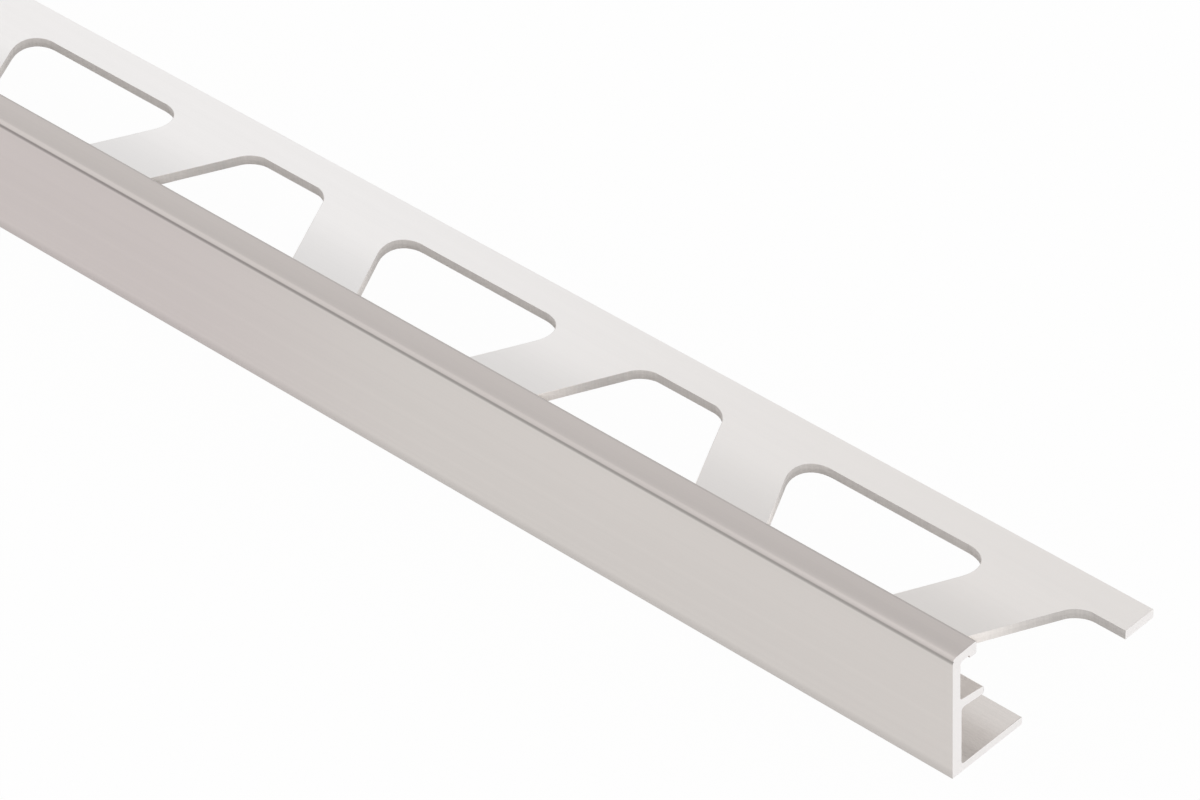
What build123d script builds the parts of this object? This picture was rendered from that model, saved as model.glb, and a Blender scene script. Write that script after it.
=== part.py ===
from build123d import *
import math
import os

# Tile edge trim: one aluminium extrusion with a punched anchoring leg, sizes in millimetres.
# X runs along the bar, Y from the front face to the back edge of the leg, Z up from the floor.

# Bar
stock_length = 2500.0
head_cut_back = 8.6
height = 13.5
leg_depth = 16.0
leg_thickness = 1.0

# Front wall and bottom flange
flange_depth = 9.25
flange_thickness = 0.88
wall_lower = 1.23
wall_upper = 1.05
outer_corner_radius = 0.1
inner_corner_radius = 0.3
lip_radius = 0.2

# Rib inside the wall
rib_height = 8.3
rib_reach = 4.1
rib_root = 1.05
rib_tip = 0.88
rib_droop_angle = 8.1
rib_fillet = 0.35

# Shoulder, nose and groove above the front face
shoulder_width = 3.1
shoulder_rise = 0.1
crest_run = 0.2
nose_depth = 0.6
nose_height = 0.27
groove_depth = 0.15
groove_width = 0.28
groove_drop = 0.1

# Keel under the shoulder, along the root of the leg
keel_width = 0.9
keel_depth = 0.3
keel_radius = 0.12

# Perforations of the leg
pitch = 25.0
hole_back = 12.25
wide_back = 23.6
web_width = 8.36
side_angle = 27.0
corner_radius = 2.5

# Edges left by the die
edge_radius = 0.15


def near(shape, y, z):
    """The corner of a section that lies closest to a point."""
    return shape.vertices().sort_by_distance(Vector(0, y, z))[0]


def rounded(shape, corners, radius):
    """A section with the named corners rounded to one radius."""
    picked = [near(shape, y, z) for y, z in corners]
    return fillet(picked, radius)


def rib_corners():
    """Root and tip of the rib, from the root's lower side round to its upper side."""
    droop = (rib_reach - wall_upper) * math.tan(math.radians(rib_droop_angle))
    tip_top = rib_height - droop
    return [
        (wall_lower, rib_height - rib_root),
        (rib_reach, tip_top - rib_tip),
        (rib_reach, tip_top),
        (wall_upper, rib_height),
    ]


def keel_corners():
    """Outer corners of the keel, from the wall towards the leg."""
    under = height - leg_thickness
    inner = shoulder_width - keel_width
    return [
        (inner, under),
        (inner, under - keel_depth),
        (shoulder_width, under - keel_depth),
        (shoulder_width, under),
    ]


def section_outline():
    """Closed line round the whole section, clockwise from the groove's upper lip."""
    under = height - leg_thickness
    lip = height - nose_height
    crest = shoulder_width - crest_run
    flat = [
        (nose_depth, height),
        (crest, height + shoulder_rise),
        (shoulder_width, height),
        (leg_depth, height),
        (leg_depth, under),
        *reversed(keel_corners()),
        (wall_upper, under),
        *reversed(rib_corners()),
        (wall_lower, flange_thickness),
        (flange_depth, flange_thickness),
        (flange_depth, 0),
        (0, 0),
        (0, lip - groove_width),
        (groove_depth, lip - groove_drop),
        (0, lip),
    ]
    points = [Vector(0, y, z) for y, z in flat]
    nose = TangentArc(points[0], points[-1], tangent=points[0] - points[1])
    return Wire([nose.edge(), *Polyline(*points).edges()])


def section():
    """The extruded section with its corners rounded."""
    under = height - leg_thickness
    root_low, tip_low, tip_high, root_high = rib_corners()
    keel = keel_corners()
    shape = Face(section_outline())
    shape = rounded(shape, [(0, 0)], outer_corner_radius)
    shape = rounded(shape, [(wall_lower, flange_thickness)], inner_corner_radius)
    shape = rounded(shape, [(flange_depth, 0), (flange_depth, flange_thickness)], lip_radius)
    shape = rounded(shape, [root_low, (wall_upper, under)], rib_fillet)
    shape = rounded(shape, [tip_low, tip_high, root_high], lip_radius)
    shape = rounded(shape, keel[1:3], keel_radius)
    shape = rounded(shape, [(leg_depth, under), (leg_depth, height)], edge_radius)
    return shape


def bar():
    """The section drawn out to the full length, centred on the length."""
    start = Vector(-stock_length / 2, 0, 0)
    return extrude(section().moved(Location(start)), amount=stock_length, dir=(1, 0, 0))


def perforation(centre, back_width, widens):
    """One hole of the leg as a flat shape: straight sides, rounded at the back only."""
    depth = hole_back - shoulder_width
    spread = depth * math.tan(math.radians(side_angle)) * (1 if widens else -1)
    back = back_width / 2
    front = back - spread
    shape = make_face(Polyline(
        (centre - front, shoulder_width),
        (centre + front, shoulder_width),
        (centre + back, hole_back),
        (centre - back, hole_back),
        close=True,
    ))
    corners = shape.vertices().group_by(Axis.Y)[-1]
    return fillet(corners, corner_radius)


def perforations():
    """All the holes as one set of prisms; wide-backed and narrow-backed ones take turns."""
    narrow_back = 2 * (pitch - web_width) - wide_back
    count = int(stock_length / pitch) + 1
    flats = []
    for number in range(count):
        centre = stock_length / 2 - number * pitch
        widens = number % 2 == 1
        flats.append(perforation(centre, wide_back if widens else narrow_back, widens))
    level = height - leg_thickness - keel_depth / 2
    sheet = Sketch() + flats
    return extrude(Pos(0, 0, level) * sheet, amount=leg_thickness + keel_depth + shoulder_rise, dir=(0, 0, 1))


def end_relief():
    """What the saw takes off the head at one end, leaving the leg to run on."""
    reach = 1.0
    start = stock_length / 2 - head_cut_back
    long = head_cut_back + reach
    below = height - leg_thickness - keel_depth
    shoulder = Box(long, shoulder_width + reach, height + 2 * reach, align=Align.MIN)
    channel = Box(long, leg_depth + 2 * reach, below + reach, align=Align.MIN)
    return Pos(start, -reach, -reach) * (shoulder + channel)


def edge_trim():
    """The finished bar: punched, then with its head cut back at one end."""
    trim = bar() - perforations() - end_relief()
    return Pos(0, -leg_depth / 2, 0) * trim


os.makedirs("parts", exist_ok=True)
trim = edge_trim()
solid = trim.solids().sort_by(SortBy.VOLUME)[-1]
solid.label = "edge_trim"
export_step(solid, "parts/edge_trim.step")
print("solids", len(trim.solids()), "volume", round(solid.volume, 1), "valid", solid.is_valid)
print("box", solid.bounding_box())
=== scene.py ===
"""Tile edge trim: a square-edge aluminium extrusion with a punched anchoring leg, on a pale studio floor."""

import logging
import math
from collections.abc import Callable, Iterable, Sequence
from dataclasses import dataclass
from enum import Enum
from itertools import pairwise

import bmesh
import bpy
from mathutils import Euler, Matrix, Vector

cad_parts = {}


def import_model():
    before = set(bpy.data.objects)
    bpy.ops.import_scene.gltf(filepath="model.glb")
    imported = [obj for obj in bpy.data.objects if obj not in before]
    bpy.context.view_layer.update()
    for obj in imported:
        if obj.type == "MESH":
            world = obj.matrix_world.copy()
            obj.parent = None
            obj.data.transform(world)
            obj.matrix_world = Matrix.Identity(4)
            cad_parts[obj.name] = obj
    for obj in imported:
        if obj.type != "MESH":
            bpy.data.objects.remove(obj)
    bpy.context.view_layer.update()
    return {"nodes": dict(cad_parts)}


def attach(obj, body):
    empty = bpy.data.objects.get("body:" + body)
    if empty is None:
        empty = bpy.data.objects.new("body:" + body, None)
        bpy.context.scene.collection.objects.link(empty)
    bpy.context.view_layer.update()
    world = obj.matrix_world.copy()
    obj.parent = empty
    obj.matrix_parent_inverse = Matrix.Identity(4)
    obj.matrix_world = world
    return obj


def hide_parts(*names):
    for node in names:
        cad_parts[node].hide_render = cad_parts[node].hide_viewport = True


LOG = logging.getLogger("edge_trim")

# Sizes are in metres. Places within a hair of each other count as one, and points within half a hair merge.
MM = 0.001
HAIR = 0.004 * MM
# A face this close to a plane is taken as belonging to what the plane bounds.
MARGIN = 5 * HAIR
# A face lies square to an axis when its normal has more than this share along it.
SQUARE = 0.999
WHITE = (1.0, 1.0, 1.0, 1.0)

Point = tuple[float, float]
Triple = tuple[float, float, float]
Colour = tuple[float, float, float]
Fade = tuple[float, float]


def mm(start: float, full: float) -> Fade:
    """Where a soft edge starts and where it is full, from millimetres."""
    return start * MM, full * MM


class Region(Enum):
    """Surfaces of the trim that differ in finish; the value is the mesh's material index."""

    HEAD = 0
    CHANNEL = 1
    LEG = 2
    PUNCHED = 3
    SAWN = 4


class Taper(Enum):
    """Which way a perforation widens; the value is the sign of its spread towards the back."""

    WIDE_BACK = 1
    NARROW_BACK = -1


class Element(Enum):
    """What is picked from a mesh; the value is Blender's name for it."""

    VERTEX = "VERT"
    EDGE = "EDGE"
    FACE = "FACE"


class Bevel(Enum):
    """What a bevel rounds; the value is Blender's name for it."""

    CORNERS = "VERTICES"
    EDGES = "EDGES"


# Shader maths


class Value:
    """A socket that can be used in Python expressions; each operator adds its Math node."""

    def __init__(self, graph: "Graph", socket: bpy.types.NodeSocket | None) -> None:
        """Wrap one output socket of a graph."""
        self.graph = graph
        self.socket = socket

    def __add__(self, other: "Value | float") -> "Value":
        """This value plus another."""
        return self.graph.math("ADD", self, other)

    __radd__ = __add__

    def __mul__(self, other: "Value | float") -> "Value":
        """This value times another."""
        return self.graph.math("MULTIPLY", self, other)

    __rmul__ = __mul__

    def __sub__(self, other: "Value | float") -> "Value":
        """This value less another."""
        return self.graph.math("SUBTRACT", self, other)

    def __rsub__(self, other: float) -> "Value":
        """A number less this value."""
        return self.graph.math("SUBTRACT", other, self)

    def __truediv__(self, other: "Value | float") -> "Value":
        """This value over another."""
        return self.graph.math("DIVIDE", self, other)

    def __rtruediv__(self, other: float) -> "Value":
        """A number over this value."""
        return self.graph.math("DIVIDE", other, self)

    def __pow__(self, other: "Value | float") -> "Value":
        """This value to a power."""
        return self.graph.math("POWER", self, other)

    def __rpow__(self, other: float) -> "Value":
        """A number to this value's power."""
        return self.graph.math("POWER", other, self)

    def swing(self, share: float) -> "Value":
        """How far this value lies above one half, times a share."""
        return (self - 0.5) * share

    def clamp(self) -> "Value":
        """This value held between 0 and 1."""
        return self.graph.math("MAXIMUM", self.graph.math("MINIMUM", self, 1.0), 0.0)

    def step(self, fade: Fade) -> "Value":
        """A smooth rise from 0 at a fade's start to 1 where it is full, or a fall if the start is larger."""
        inputs = {"Value": self, "From Min": fade[0], "From Max": fade[1]}
        return self.graph.node("ShaderNodeMapRange", {"interpolation_type": "SMOOTHSTEP"}, inputs)


class Graph:
    """A node tree that is filled one node at a time."""

    def __init__(self, tree: bpy.types.NodeTree) -> None:
        """Start from an empty tree."""
        self.tree = tree
        tree.nodes.clear()

    def node(
        self,
        kind: str,
        settings: dict[str, object] | None = None,
        inputs: dict[str | int, object] | None = None,
        output: str | int = 0,
    ) -> Value:
        """Add one node of any type.

        Args:
            kind: The node's type name.
            settings: Attributes that are set before its sockets.
            inputs: Socket names or numbers with the numbers, colours or values that they take.
            output: The output socket to hand back.

        Returns:
            The chosen output as a value.
        """
        made = self.tree.nodes.new(kind)
        for name, setting in (settings or {}).items():
            setattr(made, name, setting)
        for name, given in (inputs or {}).items():
            if isinstance(given, Value):
                self.tree.links.new(given.socket, made.inputs[name])
            else:
                made.inputs[name].default_value = given
        return Value(self, made.outputs[output] if len(made.outputs) else None)

    def outputs(self, made: Value, names: Iterable[str]) -> list[Value]:
        """Several outputs of the node that a value comes from."""
        return [Value(self, made.socket.node.outputs[name]) for name in names]

    def math(self, operation: str, *values: Value | float) -> Value:
        """A Math node on one, two or three values."""
        return self.node("ShaderNodeMath", {"operation": operation}, dict(enumerate(values)))

    def mix(self, factor: Value | float, low: Colour, high: Colour) -> Value:
        """Blend two colours by a factor."""
        inputs = {0: factor, 6: (*low, 1), 7: (*high, 1)}
        return self.node("ShaderNodeMix", {"data_type": "RGBA"}, inputs, output=2)

    def darkened(self, colour: Value | Colour, shade: Value) -> Value:
        """A colour less a share of itself.

        Args:
            colour: The full colour.
            shade: The share that is taken off, which lightens the colour where it is negative.

        Returns:
            The darker or lighter colour.
        """
        level = 1 - shade
        grey = self.node("ShaderNodeCombineXYZ", None, {0: level, 1: level, 2: level})
        return self.node("ShaderNodeVectorMath", {"operation": "MULTIPLY"}, {0: colour, 1: grey})

    def place(self) -> Value:
        """The point's place in the object."""
        return self.node("ShaderNodeTexCoord", output="Object")

    def parts(self, vector: Value) -> list[Value]:
        """The three parts of a vector."""
        return self.outputs(self.node("ShaderNodeSeparateXYZ", None, {0: vector}), "XYZ")

    def noise(self, label: str, scale: Triple, detail: float = 0.0, roughness: float = 0.5) -> Value:
        """A noise between about 0 and 1.

        Args:
            label: What the noise stands for, which its node shows.
            scale: Waves to the metre along X, Y and Z, so that a pattern can be drawn out along one of them.
            detail: How many finer waves are added.
            roughness: How strong the finer waves are.

        Returns:
            The noise at the point's place in the object.
        """
        vector = self.node("ShaderNodeMapping", None, {"Vector": self.place(), "Scale": scale})
        inputs = {"Vector": vector, "Scale": 1.0, "Detail": detail, "Roughness": roughness}
        return self.node("ShaderNodeTexNoise", {"label": label}, inputs)


# Finishes


@dataclass(frozen=True)
class Shade:
    """A soft-edged stretch of a surface with painted shade, darker than the rest, or painted light with a
    negative amount.

    Its edges are fades along the bar, in depth behind the front face and in height above the floor, and it
    lies inside all of them. Its amount can change with the slow drift along the bar.
    """

    amount: float = 0.0
    along: tuple[Fade, ...] = ()
    depth: tuple[Fade, ...] = ()
    height: tuple[Fade, ...] = ()
    drift: Fade = (0.0, 1.0)
    change: float = 0.0

    def value(self, along: Value, depth: Value, height: Value, drift: Value) -> Value:
        """Work out the shade at a place.

        Args:
            along: The place's distance along the bar.
            depth: Its depth behind the front face.
            height: Its height above the floor.
            drift: The slow drift there.

        Returns:
            The share of the colour that is taken off.
        """
        amount = self.amount
        if self.change:
            amount = amount + drift.step(self.drift) * self.change
        for part, fades in ((along, self.along), (depth, self.depth), (height, self.height)):
            for fade in fades:
                amount = amount * part.step(fade)
        return amount


@dataclass(frozen=True)
class Metal:
    """An aluminium finish: its colour, gloss and the relief left by how the surface was made.

    The contrast is how far its tone departs from the colour, and the relief is the depth of its bumps.
    The front is where the front face lies, from which the depth of a shade is counted.
    """

    name: str
    colour: Colour
    roughness: float
    contrast: float
    relief: float
    metallic: float
    front: float = -8.0 * MM
    drift_scale: float = 5.0

    def fields_of(self, kind: type) -> dict[str, object]:
        """The fields that hold one kind of thing, by name."""
        return {name: given for name, given in vars(self).items() if isinstance(given, kind)}

    def material(self) -> bpy.types.Material:
        """Make the finish's material.

        Returns:
            A material with a varied colour, roughness and normal.
        """
        made = bpy.data.materials.new(self.name)
        made.use_nodes = True
        graph = Graph(made.node_tree)
        tone, gloss, height = self.pattern(graph)
        # A tone of 1 lightens the colour by the contrast, and a tone of 0 darkens it by as much.
        shade = tone.clamp().swing(-2 * self.contrast) + self.shade(graph)
        colour = graph.darkened(self.hue(graph), shade)
        inputs = {"Strength": 1.0, "Distance": self.relief, "Height": height}
        bump = graph.node("ShaderNodeBump", None, inputs)
        gloss = gloss.clamp()
        inputs = {"Base Color": colour, "Metallic": self.metallic, "Roughness": gloss, "Normal": bump}
        shader = graph.node("ShaderNodeBsdfPrincipled", None, inputs)
        graph.node("ShaderNodeOutputMaterial", None, {"Surface": shader})
        made.diffuse_color = (*self.colour, 1)
        return made

    def pattern(self, graph: Graph) -> tuple[Value, Value, Value]:
        """The tone from dark at 0 to light at 1, the roughness and the height of the surface."""
        raise NotImplementedError

    def hue(self, graph: Graph) -> Value | Colour:
        """The colour of the finish before its tone and shade."""
        return self.colour

    def drift(self, graph: Graph) -> Value:
        """Draw the slow change along the bar.

        Args:
            graph: The material's node tree.

        Returns:
            A value between about 0.2 and 0.8.
        """
        along, _, _ = graph.parts(graph.place())
        inputs = {"W": along, "Scale": self.drift_scale, "Detail": 0.0}
        return graph.node("ShaderNodeTexNoise", {"noise_dimensions": "1D"}, inputs)

    def shade(self, graph: Graph) -> Value | float:
        """Add up the finish's painted shades and painted light.

        Args:
            graph: The material's node tree.

        Returns:
            How much darker than its colour the surface is at a place.
        """
        shades = self.fields_of(Shade)
        if not shades:
            return 0.0
        along, across, height = graph.parts(graph.place())
        depth = across - self.front
        drift = self.drift(graph)
        total = 0.0
        for shade in shades.values():
            total = total + shade.value(along, depth, height, drift)
        return total


@dataclass(frozen=True)
class Layer:
    """One noise of a finish, with its shares in the tone, the gloss and the height of the surface.

    The scale counts its waves to the metre along X, Y and Z.
    """

    scale: Triple
    detail: float = 0.0
    roughness: float = 0.5
    tone: float = 0.0
    gloss: float = 0.0
    height: float = 0.0

    def noise(self, graph: Graph, label: str) -> Value:
        """The layer's noise, under a label."""
        return graph.noise(label, self.scale, self.detail, self.roughness)


@dataclass(frozen=True)
class Skin(Metal):
    """A skin that is the sum of its layers, such as die lines, clouds and grain."""

    def pattern(self, graph: Graph) -> tuple[Value, Value, Value]:
        """Add up the layers.

        Args:
            graph: The material's node tree.

        Returns:
            The tone, the roughness and the height of the surface.
        """
        tone, gloss, height = 0.5, self.roughness, 0.0
        for name, layer in self.fields_of(Layer).items():
            noise = layer.noise(graph, name)
            tone = tone + noise.swing(layer.tone)
            gloss = gloss + noise.swing(layer.gloss)
            height = height + noise * layer.height
        return tone, gloss, height


# Soft edges and stretches of the drift that several painted shades share
SHOULDER_TOP = mm(13.43, 13.51)
SHOULDER_FRONT = mm(3.25, 3.05)
BRIGHT_STRETCH = (0.50, 0.68)
# Where the drift brings painted shade along the bar.
PAINTED_SHADE_STRETCH = (0.52, 0.27)
FLANGE_TOP = mm(2.4, 2.0)


@dataclass(frozen=True)
class SatinFace(Skin):
    """Satin anodised skin of the head, with painted shade in its groove, on its shoulder and at its foot,
    and a painted highlight on its nose.
    """

    name: str = "satin_anodised_face"
    colour: Colour = (0.66, 0.623, 0.597)
    roughness: float = 0.36
    contrast: float = 0.04
    relief: float = 0.0045 * MM
    metallic: float = 0.75
    warm_colour: Colour = (0.628, 0.571, 0.557)
    warm_stretch: Fade = (0.42, 0.24)
    warm_above_lip: float = 0.45
    lip: Fade = mm(13.18, 13.28)
    broad_lines: Layer = Layer((2.0, 1600.0, 1600.0), detail=1.0, tone=0.66, height=0.6)
    fine_lines: Layer = Layer((9.0, 7000.0, 7000.0), tone=0.44, gloss=0.10, height=0.4)
    clouds: Layer = Layer((14.0, 60.0, 60.0), detail=1.0, tone=1.2, gloss=0.10)
    grain: Layer = Layer((9000.0, 9000.0, 9000.0), tone=0.3, height=0.25)
    # Painted shade over the whole top of the shoulder, eased a little where the drift is high.
    shoulder: Shade = Shade(
        0.17, height=(SHOULDER_TOP,), depth=(SHOULDER_FRONT,), drift=(0.25, 0.65), change=-0.03
    )
    # More painted shade towards the front of the shoulder.
    slope: Shade = Shade(
        0.055,
        height=(SHOULDER_TOP,),
        depth=(SHOULDER_FRONT, mm(2.2, 0.9)),
        drift=BRIGHT_STRETCH,
        change=0.035,
    )
    # A painted shadow line along the crest at the back of the shoulder.
    crest: Shade = Shade(0.14, height=(SHOULDER_TOP,), depth=(SHOULDER_FRONT, mm(2.79, 2.89)))
    # A painted highlight along the nose, where the rounding turns from the front face to the shoulder.
    nose: Shade = Shade(
        -0.04, height=(mm(13.27, 13.38), mm(13.55, 13.47)), drift=BRIGHT_STRETCH, change=-0.11
    )
    # Painted shade in the groove under the lip, where shade falls in the recess.
    groove: Shade = Shade(
        0.455,
        height=(mm(12.76, 13.02), mm(13.30, 13.21)),
        depth=(mm(0.4, 0.3),),
        drift=BRIGHT_STRETCH,
        change=-0.045,
    )
    # Painted shade along the bottom of the front face, standing in for the reflected shadow at the floor.
    foot: Shade = Shade(0.155, height=(mm(1.3, 0.05),), depth=(mm(0.4, 0.2),))
    # Painted shade on the front face where the drift is low, standing in for light that falls off along the
    # bar.
    painted_front_shade: Shade = Shade(height=(mm(13.28, 13.18),), drift=PAINTED_SHADE_STRETCH, change=0.045)

    def hue(self, graph: Graph) -> Value:
        """Drift to the warm colour along the front face, and keep a share of it above the lip.

        Args:
            graph: The material's node tree.

        Returns:
            The colour at a place.
        """
        _, _, height = graph.parts(graph.place())
        above = height.step(self.lip)
        # The warm colour is pinker and darker: its tint is the finish's own, and its darkness is painted
        # shade.
        warm = self.drift(graph).step(self.warm_stretch) * (1 - above) + above * self.warm_above_lip
        return graph.mix(warm, self.colour, self.warm_colour)


@dataclass(frozen=True)
class ExtrudedChannel(Skin):
    """Skin inside the head as it left the die: crisp drawn lines, painted shade in the corner by the wall,
    painted light on the rib.
    """

    name: str = "as_extruded_channel"
    colour: Colour = (0.69, 0.655, 0.632)
    roughness: float = 0.2
    contrast: float = 0.05
    relief: float = 0.005 * MM
    metallic: float = 0.95
    broad_lines: Layer = Layer((1.5, 1400.0, 1400.0), detail=1.0, tone=0.7, height=0.5)
    fine_lines: Layer = Layer((5.0, 6500.0, 6500.0), tone=0.7, gloss=0.12, height=0.5)
    grain: Layer = Layer((7000.0, 7000.0, 7000.0), tone=0.3, gloss=0.06, height=0.15)
    # Painted shade over the flange, deepest in the corner by the wall.
    flange: Shade = Shade(0.02, height=(FLANGE_TOP,))
    corner: Shade = Shade(0.12, height=(FLANGE_TOP,), depth=(mm(5.2, 1.23),))
    # Painted light on the rib and the channel above it.
    rib: Shade = Shade(-0.07, height=(mm(5.0, 6.5),))


@dataclass(frozen=True)
class EtchedLeg(Skin):
    """Pale, duller skin of the anchoring leg, with painted shade close to the shoulder."""

    name: str = "etched_anodised_leg"
    colour: Colour = (0.842, 0.815, 0.796)
    roughness: float = 0.50
    contrast: float = 0.03
    relief: float = 0.004 * MM
    metallic: float = 0.75
    pale_colour: Colour = (0.879, 0.867, 0.864)
    full_stretch: Fade = (0.28, 0.72)
    broad_lines: Layer = Layer((2.0, 1300.0, 1300.0), detail=1.0, tone=0.42, height=0.3)
    fine_lines: Layer = Layer((9.0, 6000.0, 6000.0), tone=0.28, height=0.2)
    clouds: Layer = Layer((16.0, 70.0, 70.0), detail=1.0, tone=1.2, gloss=0.10)
    grain: Layer = Layer((8000.0, 8000.0, 8000.0), tone=0.4, gloss=0.10, height=0.4)
    # Painted shade on the leg close to the shoulder.
    near_shoulder: Shade = Shade(0.12, depth=(mm(10.0, 3.1),))

    def hue(self, graph: Graph) -> Value:
        """The etched colour, which drifts slowly along the bar to a paler one, as painted light."""
        return graph.mix(self.drift(graph).step(self.full_stretch), self.pale_colour, self.colour)


@dataclass(frozen=True)
class Punched(Metal):
    """Sheared wall of a perforation: burnished where the punch went in, torn below.

    The torn edge and its wander are shares of the leg's thickness.
    """

    name: str = "punched_edge"
    colour: Colour = (0.883, 0.845, 0.8175)
    roughness: float = 0.58
    contrast: float = 0.10
    relief: float = 0.012 * MM
    metallic: float = 0.2
    entry: float = 13.5 * MM
    thickness: float = 1.0 * MM
    middle_tone: float = 0.6
    torn_edge: Fade = (0.36, 0.46)
    torn_tone: float = -0.12
    torn_gloss: float = 0.16
    torn_wander: float = 0.25
    edge_noise: Layer = Layer((900.0, 900.0, 900.0), detail=2.0)
    streaks: Layer = Layer((5200.0, 5200.0, 500.0), 3.0, 0.65, tone=0.9, gloss=0.1, height=0.6)
    torn_grain: Layer = Layer((8000.0, 8000.0, 8000.0), 3.0, 0.7, tone=0.5, height=1.4)
    # Painted shade on the walls, deeper towards the back of the perforation, and eased on the back wall
    # itself.
    away: Shade = Shade(0.32, depth=(mm(3.6, 9.0),))
    back: Shade = Shade(-0.06, depth=(mm(10.2, 12.2),))
    # Painted shade on the walls near the mouth where the drift is low.
    painted_mouth_shade: Shade = Shade(depth=(mm(9.0, 3.6),), drift=PAINTED_SHADE_STRETCH, change=0.19)
    # Painted shade on the back of the half perforation by the cut-back end, where the open end lets in more
    # light.
    bar_end: Shade = Shade(0.15, along=(mm(1241.0, 1247.0),), depth=(mm(7.7, 10.7),))

    def pattern(self, graph: Graph) -> tuple[Value, Value, Value]:
        """Draw upright streaks from the punch, and a coarser torn band under the burnished one.

        Args:
            graph: The material's node tree.

        Returns:
            The tone, the roughness and the height of the surface.
        """
        streaks = self.streaks.noise(graph, "streaks")
        grain = self.torn_grain.noise(graph, "torn_grain")
        wander = self.edge_noise.noise(graph, "edge_noise").swing(self.torn_wander)
        _, _, level = graph.parts(graph.place())
        torn = ((self.entry - level) / self.thickness + wander).step(self.torn_edge)
        tone = self.middle_tone + streaks.swing(self.streaks.tone) + grain.swing(self.torn_grain.tone)
        tone = tone + torn * self.torn_tone
        gloss = self.roughness + streaks.swing(self.streaks.gloss) + torn * self.torn_gloss
        height = streaks * self.streaks.height + torn * grain * self.torn_grain.height
        return tone, gloss, height


@dataclass(frozen=True)
class Sawn(Metal):
    """Bare cut end with the curved tracks of a fine saw blade, whose wobble is in radians."""

    name: str = "sawn_end"
    colour: Colour = (0.90, 0.877, 0.87)
    roughness: float = 0.46
    contrast: float = 0.05
    relief: float = 0.006 * MM
    metallic: float = 0.6
    blade_centre: Point = (-46.0 * MM, -128.0 * MM)
    tooth_pitch: float = 0.16 * MM
    track_tone: float = 0.5
    track_height: float = 0.5
    track_wobble: float = 5.0
    track_noise: Layer = Layer((700.0, 700.0, 700.0), detail=2.0)
    grain: Layer = Layer((7000.0, 7000.0, 7000.0), 3.0, 0.65, tone=0.6, gloss=0.15, height=0.5)

    def pattern(self, graph: Graph) -> tuple[Value, Value, Value]:
        """Draw tracks round the blade's centre, broken up by grain.

        Args:
            graph: The material's node tree.

        Returns:
            The tone, the roughness and the height of the surface.
        """
        _, y, z = graph.parts(graph.place())
        across, up = y - self.blade_centre[0], z - self.blade_centre[1]
        radius = (across * across + up * up) ** 0.5
        wobble = self.track_noise.noise(graph, "track_noise") * self.track_wobble
        phase = radius * (math.tau / self.tooth_pitch) + wobble
        tracks = graph.math("SINE", phase) * 0.5 + 0.5
        grain = self.grain.noise(graph, "grain")
        tone = 0.5 + tracks.swing(self.track_tone) + grain.swing(self.grain.tone)
        gloss = self.roughness + grain.swing(self.grain.gloss)
        height = tracks * self.track_height + grain * self.grain.height
        return tone, gloss, height


# Modelling helpers


def deselect() -> None:
    """Leave edit mode and deselect every object."""
    if bpy.context.mode != "OBJECT":
        bpy.ops.object.mode_set(mode="OBJECT")
    bpy.ops.object.select_all(action="DESELECT")


def edit(piece: bpy.types.Object) -> None:
    """Open a piece in edit mode with every other object deselected.

    Args:
        piece: The piece that is worked on next.
    """
    deselect()
    bpy.context.view_layer.objects.active = piece
    bpy.ops.object.mode_set(mode="EDIT")


def pick(piece: bpy.types.Object, kind: Element, wanted: Callable[[object], bool]) -> int:
    """Select the vertices, edges or faces of a piece in edit mode that pass a test.

    Args:
        piece: The piece in edit mode.
        kind: What is picked.
        wanted: The test, given one bmesh element.

    Returns:
        How many were selected.
    """
    bpy.ops.mesh.select_mode(type=kind.value)
    bpy.ops.mesh.select_all(action="DESELECT")
    sheet = bmesh.from_edit_mesh(piece.data)
    elements = {Element.VERTEX: sheet.verts, Element.EDGE: sheet.edges, Element.FACE: sheet.faces}[kind]
    chosen = [element for element in elements if wanted(element)]
    for element in chosen:
        element.select_set(True)
    sheet.select_flush_mode()
    bmesh.update_edit_mesh(piece.data)
    return len(chosen)


def close_to(places: Sequence[Vector]) -> Callable[[bmesh.types.BMVert], bool]:
    """A test for the vertices within a hair of one of some places."""
    return lambda vertex: min((vertex.co - place).length for place in places) < HAIR


def gap(place: float, planes: Sequence[float]) -> float:
    """How far a place is from the nearest of some planes."""
    return min(abs(place - plane) for plane in planes)


def across_at(planes: Sequence[float]) -> Callable[[bmesh.types.BMFace], bool]:
    """A test for the faces that close the bar at one of some planes across it."""
    return lambda face: abs(face.normal.x) > SQUARE and gap(face.calc_center_median().x, planes) < HAIR


def apply_modifier(piece: bpy.types.Object, kind: str, **settings: object) -> None:
    """Add a modifier and apply it.

    Args:
        piece: The piece that it works on.
        kind: The modifier's type.
        **settings: Its settings by name.
    """
    deselect()
    piece.select_set(True)
    bpy.context.view_layer.objects.active = piece
    modifier = piece.modifiers.new(kind.lower(), kind)
    for name, setting in settings.items():
        setattr(modifier, name, setting)
    bpy.ops.object.modifier_apply(modifier=modifier.name)


def block(low: Sequence[float], high: Sequence[float]) -> bpy.types.Object:
    """Make a cutting block.

    Args:
        low: Its lowest corner.
        high: Its highest corner.

    Returns:
        The block, in edit mode.
    """
    deselect()
    middle = [(a + b) / 2 for a, b in zip(low, high)]
    bpy.ops.mesh.primitive_cube_add(size=1.0, location=middle)
    made = bpy.context.object
    made.scale = [b - a for a, b in zip(low, high)]
    bpy.ops.object.transform_apply(location=True, rotation=True, scale=True)
    bpy.ops.object.mode_set(mode="EDIT")
    return made


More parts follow.
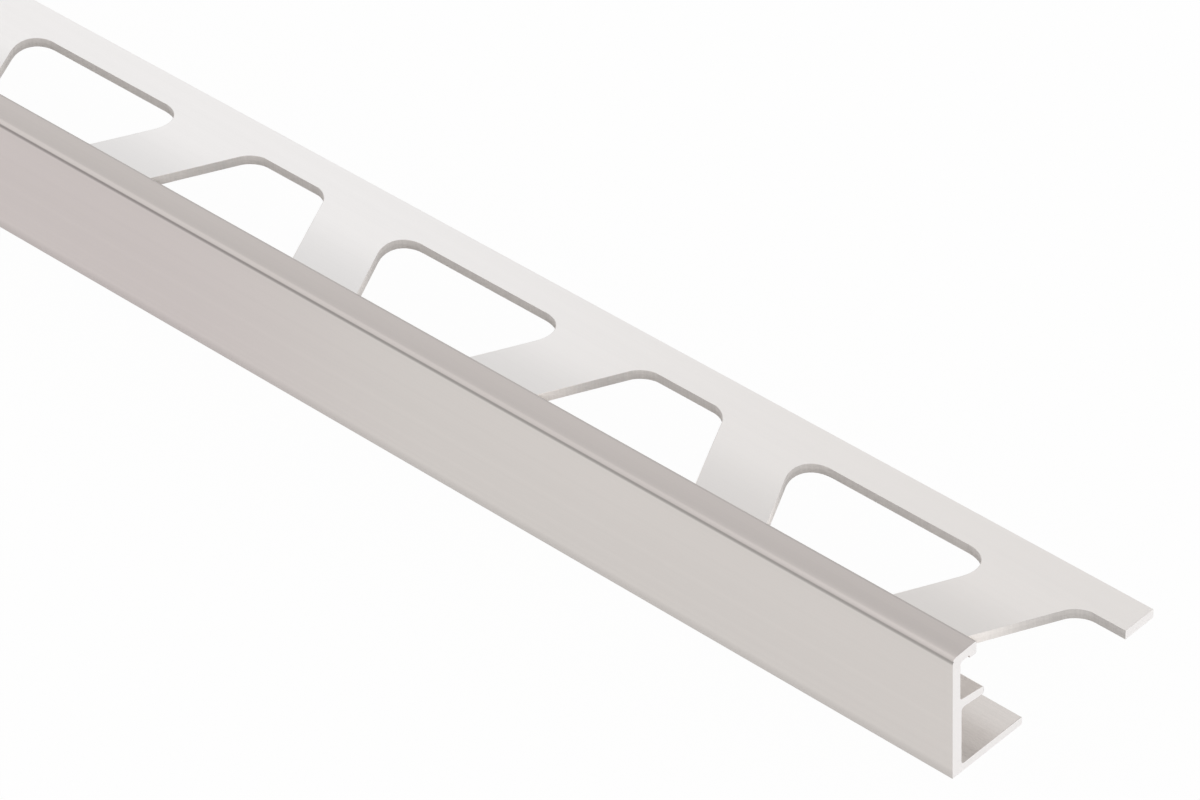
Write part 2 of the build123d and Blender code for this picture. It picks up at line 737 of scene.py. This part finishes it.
def cut(piece: bpy.types.Object, cutter: bpy.types.Object) -> None:
    """Take a cutter out of a piece and delete the cutter."""
    apply_modifier(piece, "BOOLEAN", operation="DIFFERENCE", solver="EXACT", object=cutter)
    bpy.data.objects.remove(cutter, do_unlink=True)


# The trim


@dataclass(frozen=True)
class Rounding:
    """How far a rounding reaches from its corner or edge, and in how many steps it turns."""

    reach: float
    steps: int

    def apply(self, kind: Bevel, **settings: object) -> None:
        """Round the selected corners of a flat outline, or the selected edges of a solid."""
        made = {"offset": self.reach, "segments": self.steps, "affect": kind.value, **settings}
        bpy.ops.mesh.bevel(profile=0.5, **made)


@dataclass(frozen=True)
class Section:
    """The extruded section. Depth is counted from the front face and height from the floor."""

    height: float = 13.5 * MM
    leg_depth: float = 16 * MM
    leg_thickness: float = 1.0 * MM
    flange_depth: float = 9.25 * MM
    flange_thickness: float = 0.88 * MM
    wall_lower: float = 1.23 * MM
    wall_upper: float = 1.05 * MM
    rib_height: float = 8.3 * MM
    rib_reach: float = 4.1 * MM
    rib_root: float = 1.05 * MM
    rib_tip: float = 0.88 * MM
    rib_droop: float = math.radians(8.1)
    shoulder_width: float = 3.1 * MM
    shoulder_rise: float = 0.1 * MM
    crest_run: float = 0.2 * MM
    nose_depth: float = 0.6 * MM
    nose_height: float = 0.27 * MM
    nose_steps: int = 8
    groove_depth: float = 0.15 * MM
    groove_width: float = 0.28 * MM
    groove_drop: float = 0.10 * MM
    keel_width: float = 0.9 * MM
    keel_depth: float = 0.30 * MM
    tuck_height: float = 1.0 * MM
    tuck_depth: float = 0.015 * MM
    crest_rounding: Rounding = Rounding(0.09 * MM, 3)
    leg_rounding: Rounding = Rounding(0.15 * MM, 4)
    flange_rounding: Rounding = Rounding(0.2 * MM, 5)
    keel_rounding: Rounding = Rounding(0.12 * MM, 3)
    keel_root_rounding: Rounding = Rounding(0.1 * MM, 2)
    fillet: Rounding = Rounding(0.35 * MM, 6)
    rib_rounding: Rounding = Rounding(0.2 * MM, 5)
    corner_rounding: Rounding = Rounding(0.3 * MM, 6)
    foot_rounding: Rounding = Rounding(0.03 * MM, 2)
    tuck_rounding: Rounding = Rounding(0.6 * MM, 4)
    groove_rounding: Rounding = Rounding(0.10 * MM, 3)

    @property
    def under(self) -> float:
        """Height of the leg's underside."""
        return self.height - self.leg_thickness

    @property
    def keel_under(self) -> float:
        """Height of the keel's underside."""
        return self.under - self.keel_depth

    @property
    def lip(self) -> float:
        """Height of the lip over the groove."""
        return self.height - self.nose_height

    @property
    def front(self) -> float:
        """Where the front face lies in the frame."""
        return -self.leg_depth / 2

    @property
    def behind(self) -> float:
        """Where the back of the shoulder, and so the mouth of each perforation, lies in the frame."""
        return self.front + self.shoulder_width

    def rib(self) -> list[Point]:
        """Place the rib's corners.

        Returns:
            Its corners, from the root's upper side round to its lower side.
        """
        tip_top = self.rib_height - (self.rib_reach - self.wall_upper) * math.tan(self.rib_droop)
        return [
            (self.wall_upper, self.rib_height),
            (self.rib_reach, tip_top),
            (self.rib_reach, tip_top - self.rib_tip),
            (self.wall_lower, self.rib_height - self.rib_root),
        ]

    def keel(self) -> list[Point]:
        """Place the corners of the keel under the shoulder.

        Returns:
            Its corners, from the leg to the wall.
        """
        inner = self.shoulder_width - self.keel_width
        return [
            (self.shoulder_width, self.under),
            (self.shoulder_width, self.keel_under),
            (inner, self.keel_under),
            (inner, self.under),
        ]

    def nose(self) -> tuple[Point, float]:
        """Find the corner that the nose rounds.

        Returns:
            Where the nose's two tangents meet, and how far that is from either end of its arc.
        """
        rise = self.shoulder_rise / (self.shoulder_width - self.crest_run - self.nose_depth)
        along = Vector((-1.0, -rise)).normalized()
        chord = Vector((-self.nose_depth, -self.nose_height))
        reach = chord.length_squared / (2 * along.dot(chord))
        meeting = Vector((self.nose_depth, self.height)) + along * reach
        return (meeting.x, meeting.y), reach

    def outline(self) -> list[Point]:
        """Go round the section's corners before they are rounded.

        Returns:
            The corners, from the nose over the leg and round to the groove.
        """
        return [
            self.nose()[0],
            (self.shoulder_width - self.crest_run, self.height + self.shoulder_rise),
            (self.shoulder_width, self.height),
            (self.leg_depth, self.height),
            (self.leg_depth, self.under),
            *self.keel(),
            (self.wall_upper, self.under),
            *self.rib(),
            (self.wall_lower, self.flange_thickness),
            (self.flange_depth, self.flange_thickness),
            (self.flange_depth, 0.0),
            (self.tuck_depth, 0.0),
            (0.0, self.tuck_height),
            (0.0, self.lip - self.groove_width),
            (self.groove_depth, self.lip - self.groove_drop),
            (0.0, self.lip),
        ]

    def roundings(self) -> list[tuple[Sequence[Point], Rounding]]:
        """Say how the corners are rounded.

        Returns:
            The corners that share a rounding, with that rounding.
        """
        meeting, reach = self.nose()
        rib, keel = self.rib(), self.keel()
        crest = (self.shoulder_width - self.crest_run, self.height + self.shoulder_rise)
        return [
            ([meeting], Rounding(reach, self.nose_steps)),
            ([crest], self.crest_rounding),
            ([(self.leg_depth, self.height), (self.leg_depth, self.under)], self.leg_rounding),
            ([(self.flange_depth, self.flange_thickness), (self.flange_depth, 0.0)], self.flange_rounding),
            (keel[1:3], self.keel_rounding),
            (keel[3:], self.keel_root_rounding),
            ([(self.wall_upper, self.under), rib[3]], self.fillet),
            (rib[:3], self.rib_rounding),
            ([(self.wall_lower, self.flange_thickness)], self.corner_rounding),
            ([(self.tuck_depth, 0.0)], self.foot_rounding),
            ([(0.0, self.tuck_height)], self.tuck_rounding),
            ([(0.0, self.lip - self.groove_width)], self.groove_rounding),
        ]

    def trace(self, start: float) -> bpy.types.Object:
        """Trace the section as one face by extruding a vertex from corner to corner, then round it.

        Args:
            start: Where along the bar the face stands.

        Returns:
            The new object, in edit mode.
        """
        corners = [(self.front + depth, height) for depth, height in self.outline()]
        deselect()
        bpy.ops.mesh.primitive_plane_add(size=MM, location=(0, 0, 0))
        piece = bpy.context.object
        bpy.ops.object.mode_set(mode="EDIT")
        bpy.ops.mesh.select_mode(type="VERT")
        bpy.ops.mesh.select_all(action="SELECT")
        bpy.ops.mesh.merge(type="CENTER")
        bpy.ops.transform.translate(value=(start, *corners[0]))
        for (y, z), (next_y, next_z) in pairwise(corners):
            bpy.ops.mesh.extrude_region_move(TRANSFORM_OT_translate={"value": (0, next_y - y, next_z - z)})
        pick(piece, Element.VERTEX, close_to([Vector((start, *corners[0])), Vector((start, *corners[-1]))]))
        bpy.ops.mesh.edge_face_add()
        bpy.ops.mesh.select_all(action="SELECT")
        bpy.ops.mesh.edge_face_add()
        for spots, rounding in self.roundings():
            places = [Vector((start, self.front + depth, height)) for depth, height in spots]
            pick(piece, Element.VERTEX, close_to(places))
            rounding.apply(Bevel.CORNERS)
        return piece


@dataclass(frozen=True)
class Perforations:
    """The openings punched in the leg, which are wide at the back and wide at the front by turns.

    An upright wall has less of its normal in Z than wall_normal, and a flat side more than flat_normal.
    """

    section: Section = Section()
    pitch: float = 25 * MM
    back_edge: float = 12.25 * MM
    wide_back: float = 23.6 * MM
    web_width: float = 8.36 * MM
    side_angle: float = math.radians(27.0)
    corner_radius: float = 2.5 * MM
    corner_steps: int = 12
    punch_clearance: float = 0.5 * MM
    rim: Rounding = Rounding(0.05 * MM, 2)
    wall_normal: float = 0.1
    flat_normal: float = 0.9

    @property
    def repeat(self) -> float:
        """Length of bar that holds one opening of each kind."""
        return 2 * self.pitch

    @property
    def back(self) -> float:
        """Where the openings' back edge lies in the frame."""
        return self.section.front + self.back_edge

    def widths(self, taper: Taper) -> tuple[float, float]:
        """Work out how wide an opening is.

        Args:
            taper: Which way it widens.

        Returns:
            Its widths at the mouth, by the shoulder, and at the back.
        """
        narrow_back = self.repeat - 2 * self.web_width - self.wide_back
        back = self.wide_back if taper is Taper.WIDE_BACK else narrow_back
        spread = 2 * (self.back - self.section.behind) * math.tan(self.side_angle)
        return back - taper.value * spread, back

    def web_middle(self) -> float:
        """How far past a narrow-backed opening's middle a plane across the bar meets only the web."""
        mouth, back = self.widths(Taper.NARROW_BACK)
        return (mouth + back) / 4 + self.web_width / 2

    def punch(self, piece: bpy.types.Object, centre: float, taper: Taper) -> None:
        """Punch one opening through the leg.

        Args:
            piece: The bar or a stretch of it.
            centre: Where the opening's middle is along the bar.
            taper: Which way it widens.
        """
        mouth, back = self.widths(taper)
        low = self.section.keel_under - self.punch_clearance
        top = self.section.height + self.punch_clearance
        half = mouth / 2
        tool = block((centre - half, self.section.behind, low), (centre + half, self.back, top))

        def at_back(vertex: bmesh.types.BMVert) -> bool:
            """Whether a corner of the punch is at its back."""
            return vertex.co.y > self.back - HAIR

        def upright_at_back(edge: bmesh.types.BMEdge) -> bool:
            """Whether an edge of the punch stands upright at its back."""
            start, end = edge.verts
            return at_back(start) and at_back(end) and abs(start.co.z - end.co.z) > self.punch_clearance

        pick(tool, Element.VERTEX, at_back)
        bpy.ops.transform.resize(value=(back / mouth, 1, 1), center_override=(centre, self.back, top))
        pick(tool, Element.EDGE, upright_at_back)
        corner = math.pi / 2 - taper.value * self.side_angle
        Rounding(self.corner_radius / math.tan(corner / 2), self.corner_steps).apply(Bevel.EDGES)
        cut(piece, tool)

    def soften_rims(self, piece: bpy.types.Object) -> None:
        """Break the sharp rims of the openings, where the punch draws the metal in.

        Args:
            piece: The punched stretch of bar, which is left in object mode.
        """
        levels = (self.section.height, self.section.under)

        def on_rim(edge: bmesh.types.BMEdge) -> bool:
            """Tell whether an edge joins an opening's wall to a flat side of the leg.

            Args:
                edge: One edge of the piece.

            Returns:
                True where it does.
            """
            if len(edge.link_faces) != 2:
                return False
            middle = (edge.verts[0].co + edge.verts[1].co) / 2
            beside = self.section.behind + MARGIN < middle.y < self.back + MARGIN
            wall, flat = sorted(abs(face.normal.z) for face in edge.link_faces)
            upright = wall < self.wall_normal and flat > self.flat_normal
            return beside and upright and gap(middle.z, levels) <= HAIR

        edit(piece)
        found = pick(piece, Element.EDGE, on_rim)
        self.rim.apply(Bevel.EDGES, loop_slide=True)
        deselect()
        LOG.info("rims softened: %d edges", found)


@dataclass(frozen=True)
class EdgeTrim:
    """The whole trim: one extrusion, punched along its leg, with its head cut back at one end.

    A face with more of its normal in Z than flat_normal isn't a punched one.
    """

    finishes: dict[Region, Metal]
    perforations: Perforations = Perforations()
    length: float = 2500 * MM
    head_cut_back: float = 8.6 * MM
    saw_overrun: float = 5 * MM
    saw_clearance: float = 1.0 * MM
    saw_tolerance: float = 1e-7
    burr: Rounding = Rounding(0.06 * MM, 2)
    smooth_angle: float = math.radians(32)
    face_weight: int = 100
    flat_normal: float = 0.99

    @property
    def section(self) -> Section:
        """The section that is extruded."""
        return self.perforations.section

    @property
    def head_end(self) -> float:
        """Where the head is cut back to along the bar."""
        return self.length / 2 - self.head_cut_back

    @property
    def sawn_planes(self) -> tuple[float, float, float]:
        """Where the bar's cut faces lie along it."""
        return self.length / 2, -self.length / 2, self.head_end

    def stretch_of_bar(self) -> bpy.types.Object:
        """Extrude and punch one repeat of the bar, which holds one opening of each kind.

        Returns:
            The repeat, open at both ends, with its narrow-backed opening at the origin.
        """
        repeat, last = self.perforations.repeat, self.perforations.web_middle()
        piece = self.section.trace(last - repeat)
        bpy.ops.mesh.select_all(action="SELECT")
        bpy.ops.mesh.extrude_region_move(TRANSFORM_OT_translate={"value": (repeat, 0, 0)})
        bpy.ops.mesh.select_all(action="SELECT")
        bpy.ops.mesh.normals_make_consistent(inside=False)
        deselect()
        self.perforations.punch(piece, 0.0, Taper.NARROW_BACK)
        self.perforations.punch(piece, -self.perforations.pitch, Taper.WIDE_BACK)
        edit(piece)
        pick(piece, Element.FACE, across_at((last - repeat, last)))
        bpy.ops.mesh.delete(type="FACE")
        self.perforations.soften_rims(piece)
        return piece

    def lay_out(self, piece: bpy.types.Object) -> None:
        """Copy the repeat along the bar, past both of its ends.

        Args:
            piece: The repeat, which becomes the bar and is left in edit mode.
        """
        repeat = self.perforations.repeat
        apply_modifier(
            piece,
            "ARRAY",
            fit_type="FIXED_COUNT",
            count=round(self.length / repeat) + 1,
            use_relative_offset=False,
            use_constant_offset=True,
            constant_offset_displace=(-repeat, 0, 0),
            use_merge_vertices=True,
            merge_threshold=HAIR / 2,
        )
        edit(piece)
        bpy.ops.mesh.select_all(action="SELECT")
        bpy.ops.transform.translate(value=(self.length / 2, 0, 0))

    def saw_ends(self, piece: bpy.types.Object) -> None:
        """Saw the bar to length at both ends and cut its head back at one of them.

        Args:
            piece: The bar, which is left in object mode.
        """
        edit(piece)
        for side in (1, -1):
            bpy.ops.mesh.select_mode(type="FACE")
            bpy.ops.mesh.select_all(action="SELECT")
            plane = {"plane_co": (side * self.length / 2, 0, 0), "plane_no": (side, 0, 0)}
            bpy.ops.mesh.bisect(**plane, use_fill=True, clear_outer=True, threshold=self.saw_tolerance)
        section, clear = self.section, self.saw_clearance
        end = self.length / 2 + self.saw_overrun
        low = (self.head_end, section.front - self.saw_overrun, -clear)
        cut(piece, block(low, (end, section.behind + clear, section.height + clear)))
        cut(piece, block(low, (end, self.saw_overrun - section.front, section.keel_under)))

    def deburr(self, piece: bpy.types.Object) -> None:
        """Break the edges of the sawn ends very slightly.

        Args:
            piece: The sawn bar, which is left in object mode.
        """
        edit(piece)
        pick(piece, Element.FACE, across_at(self.sawn_planes))
        bpy.ops.mesh.region_to_loop()
        self.burr.apply(Bevel.EDGES, clamp_overlap=True)
        deselect()

    def region_of(self, face: bpy.types.MeshPolygon) -> Region:
        """Tell which finish a face of the bar has.

        Args:
            face: One face of the finished bar.

        Returns:
            The region of the trim that it belongs to.
        """
        section = self.section
        along, across, height = face.center
        depth = across - section.front
        if gap(along, self.sawn_planes) < MARGIN and abs(face.normal.x) > SQUARE:
            return Region.SAWN
        inside_head = section.flange_thickness / 2 < height < section.under - MARGIN
        if inside_head and depth > section.groove_depth:
            return Region.CHANNEL
        on_leg = section.under - MARGIN <= height <= section.height + HAIR
        if not on_leg or depth < section.shoulder_width - MARGIN:
            return Region.HEAD
        if across < self.perforations.back + MARGIN and abs(face.normal.z) < self.flat_normal:
            return Region.PUNCHED
        return Region.LEG

    def dress(self, piece: bpy.types.Object) -> None:
        """Smooth the bar's shading and give each of its faces its finish.

        Args:
            piece: The finished bar.
        """
        bpy.ops.object.shade_smooth_by_angle(angle=self.smooth_angle)
        apply_modifier(piece, "WEIGHTED_NORMAL", mode="FACE_AREA", weight=self.face_weight, keep_sharp=True)
        for region in Region:
            piece.data.materials.append(self.finishes[region].material())
        for face in piece.data.polygons:
            face.material_index = self.region_of(face).value

    def build(self) -> bpy.types.Object:
        """Make the whole trim.

        Returns:
            The finished piece, dressed and riding on the root body.
        """
        piece = self.stretch_of_bar()
        self.lay_out(piece)
        self.saw_ends(piece)
        self.deburr(piece)
        piece.select_set(True)
        bpy.ops.object.transform_apply(location=True, rotation=True, scale=True)
        self.dress(piece)
        piece.name = piece.data.name = "edge_trim_bar"
        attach(piece, "root")
        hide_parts("edge_trim")
        return piece


# The studio


@dataclass(frozen=True)
class Lamp:
    """A very soft distant lamp: where it shines from, its strength and how wide it looks in degrees."""

    name: str
    direction: Triple
    strength: float
    width: float

    def make(self) -> bpy.types.Object:
        """Add the lamp and turn it to shine from its direction.

        Returns:
            The lamp.
        """
        bpy.ops.object.light_add(type="SUN", location=self.direction)
        made = bpy.context.object
        made.name = self.name
        made.rotation_euler = Vector(self.direction).to_track_quat("Z", "Y").to_euler()
        made.data.energy = self.strength
        made.data.angle = math.radians(self.width)
        return made


@dataclass(frozen=True)
class Studio:
    """Floor, sky and lamps of the picture.

    The fades of the sky are heights of a line of sight, from 0 at the horizon to 1 overhead.
    """

    floor_size: float = 160.0
    floor_colour: Colour = (0.86, 0.85, 0.84)
    floor_whiteness: float = 0.96
    horizon: float = 0.96
    overhead: float = 0.55
    dimming: Fade = (0.42, 0.78)
    white_edge: Fade = (0.10, 0.03)
    tint: Colour = (1.0, 0.992, 0.985)
    lamps: tuple[Lamp, ...] = (
        Lamp("back_lamp", (-0.80, 0.15, 0.57), 0.42, 75.0),
        Lamp("front_lamp", (0.55, -0.50, 0.67), 0.65, 60.0),
        Lamp("side_lamp", (0.72, 0.60, 0.34), 0.12, 60.0),
    )

    @staticmethod
    def seen(graph: Graph) -> Value:
        """Tell what the picture sees from what only gives light.

        Args:
            graph: The node tree of the floor or the sky.

        Returns:
            1 where the picture, a glossy surface or a clear one looks, and 0 for the light on matt surfaces.
        """
        path = graph.node("ShaderNodeLightPath")
        rays = graph.outputs(path, ("Is Camera Ray", "Is Glossy Ray", "Is Transmission Ray"))
        return (rays[0] + rays[1] + rays[2]).clamp()

    def floor(self) -> bpy.types.Object:
        """Lay a pale floor that looks white and keeps a soft shadow.

        Returns:
            The floor.
        """
        deselect()
        bpy.ops.mesh.primitive_plane_add(size=self.floor_size, location=(0, 0, 0))
        made = bpy.context.object
        made.name = "floor"
        material = bpy.data.materials.new("pale_floor")
        material.use_nodes = True
        graph = Graph(material.node_tree)
        matt = graph.node("ShaderNodeBsdfDiffuse", None, {"Color": (*self.floor_colour, 1)})
        white = graph.node("ShaderNodeEmission", None, {"Color": WHITE, "Strength": 1.0})
        whiteness = self.seen(graph) * self.floor_whiteness
        both = graph.node("ShaderNodeMixShader", None, {0: whiteness, 1: matt, 2: white})
        graph.node("ShaderNodeOutputMaterial", None, {"Surface": both})
        made.data.materials.append(material)
        return made

    def sky(self) -> bpy.types.World:
        """Hang a pale sky that dims overhead, with a white background close to the horizon.

        Returns:
            The sky.
        """
        made = bpy.data.worlds.new("studio_sky")
        made.use_nodes = True
        bpy.context.scene.world = made
        graph = Graph(made.node_tree)
        direction = graph.node("ShaderNodeTexCoord", output="Generated")
        _, _, height = graph.parts(direction)
        strength = self.horizon - height.step(self.dimming) * (self.horizon - self.overhead)
        light = graph.node("ShaderNodeBackground", None, {"Color": (*self.tint, 1), "Strength": strength})
        white = graph.node("ShaderNodeBackground", None, {"Color": WHITE, "Strength": 1.0})
        whiteness = self.seen(graph) * height.step(self.white_edge)
        both = graph.node("ShaderNodeMixShader", None, {0: whiteness, 1: light, 2: white})
        graph.node("ShaderNodeOutputWorld", None, {"Surface": both})
        return made

    def build(self) -> list[bpy.types.ID]:
        """Make the floor, the sky and the lamps, and hand them back."""
        return [self.floor(), self.sky(), *(lamp.make() for lamp in self.lamps)]


@dataclass(frozen=True)
class Viewpoint:
    """The camera: place and clip in metres, angles in degrees, lens and sensor in millimetres."""

    place: Triple = (1.473111, -0.281339, 0.328485)
    azimuth: float = 44.8285
    elevation: float = 38.6303
    roll: float = -2.727
    lens: float = 170.93
    sensor_width: float = 36.0
    clip: tuple[float, float] = (0.01, 400.0)

    def make(self) -> bpy.types.Object:
        """Add the camera and make it the scene's own.

        Returns:
            The camera.
        """
        turn = Euler((math.radians(90 - self.elevation), 0, math.radians(self.azimuth))).to_matrix()
        turn = turn @ Matrix.Rotation(math.radians(self.roll), 3, "Z")
        bpy.ops.object.camera_add(location=self.place, rotation=turn.to_euler())
        camera = bpy.context.object
        camera.data.lens = self.lens
        camera.data.sensor_width = self.sensor_width
        camera.data.clip_start, camera.data.clip_end = self.clip
        bpy.context.scene.camera = camera
        return camera


def finishes() -> dict[Region, Metal]:
    """Choose the finish of each region of the trim.

    Returns:
        The finishes by region.
    """
    return {
        Region.HEAD: SatinFace(),
        Region.CHANNEL: ExtrudedChannel(),
        Region.LEG: EtchedLeg(),
        Region.PUNCHED: Punched(),
        Region.SAWN: Sawn(),
    }


def main() -> None:
    """Load the frame, build the trim and its studio, and report each piece."""
    logging.basicConfig(level=logging.INFO, format="%(name)s: %(message)s")
    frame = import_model()
    LOG.info("frame loaded: %s", ", ".join(frame["nodes"]))
    trim = EdgeTrim(finishes()).build()
    LOG.info("%s: %d faces", trim.name, len(trim.data.polygons))
    for made in (*Studio().build(), Viewpoint().make()):
        LOG.info("%s in place", made.name)
    bpy.context.scene.view_settings.view_transform = "Standard"


if __name__ == "__main__":
    main()
